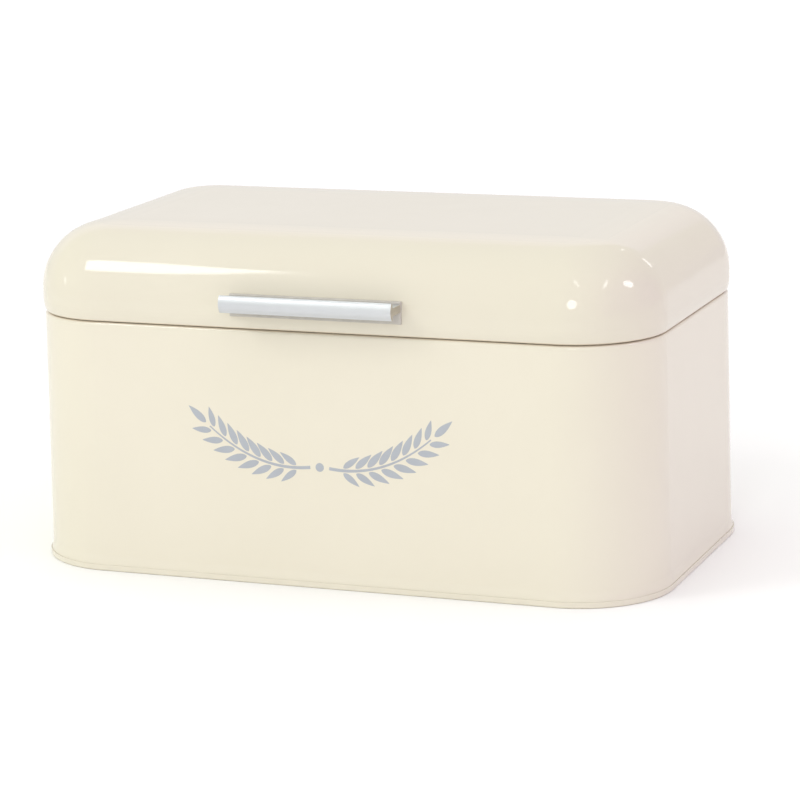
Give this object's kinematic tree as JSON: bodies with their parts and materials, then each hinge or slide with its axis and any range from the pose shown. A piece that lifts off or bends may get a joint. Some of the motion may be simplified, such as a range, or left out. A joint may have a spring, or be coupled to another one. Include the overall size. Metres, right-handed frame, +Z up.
{
  "type": "bread bin",
  "caption": "Enamelled steel storage box on a rolled base seam, with a deep rounded lid hinged along the back and a bar handle across its front.",
  "frame": {"origin": "middle of the body, on the surface its base seam stands on", "axes": "+X along the width, +Y towards the hinges at the back, +Z up; the handle is on the -Y side"},
  "size_m": [0.3344, 0.2208, 0.173],
  "materials": {
    "body_enamel": "gloss cream stove enamel",
    "pan_enamel": "gloss cream stove enamel",
    "collar_enamel": "gloss cream stove enamel",
    "lid_enamel": "gloss cream stove enamel",
    "handle_aluminium": "satin silver anodised",
    "pad_rubber": "soft grey rubber",
    "screw_zinc": "bright zinc plate",
    "washer_zinc": "bright zinc plate",
    "hinge_nickel": "nickel plate",
    "pin_steel": "plain wire",
    "rivet_steel": "nickel plate",
    "backer_zinc": "zinc plate",
    "spacer_nylon": "natural nylon",
    "cushion_rubber": "soft black rubber"
  },
  "bodies": {
    "body": {"body_shell": "body_enamel", "base_pan": "pan_enamel", "collar": "collar_enamel", "hinge_body_rivets": "rivet_steel", "hinge_body_leaf_left": "hinge_nickel", "hinge_body_leaf_right": "hinge_nickel", "hinge_pin_left": "pin_steel", "hinge_pin_right": "pin_steel", "hinge_spacer_left": "spacer_nylon", "hinge_spacer_right": "spacer_nylon", "hinge_body_backer_left": "backer_zinc", "hinge_body_backer_right": "backer_zinc"},
    "lid": {"lid_shell": "lid_enamel", "handle_bar": "handle_aluminium", "handle_pad": "pad_rubber", "handle_screws": "screw_zinc", "handle_washers": "washer_zinc", "hinge_lid_rivets": "rivet_steel", "hinge_lid_leaf_left": "hinge_nickel", "hinge_lid_leaf_right": "hinge_nickel", "hinge_lid_backer_left": "backer_zinc", "hinge_lid_backer_right": "backer_zinc", "lid_cushion_left": "cushion_rubber", "lid_cushion_right": "cushion_rubber"}
  },
  "joints": [
    {"name": "lid_hinge", "type": "hinge", "parent": "body", "child": "lid", "pos_m": [0, 0.10063, 0.1285], "axis": [-1, 0, 0], "range_deg": [0, 100]}
  ]
}
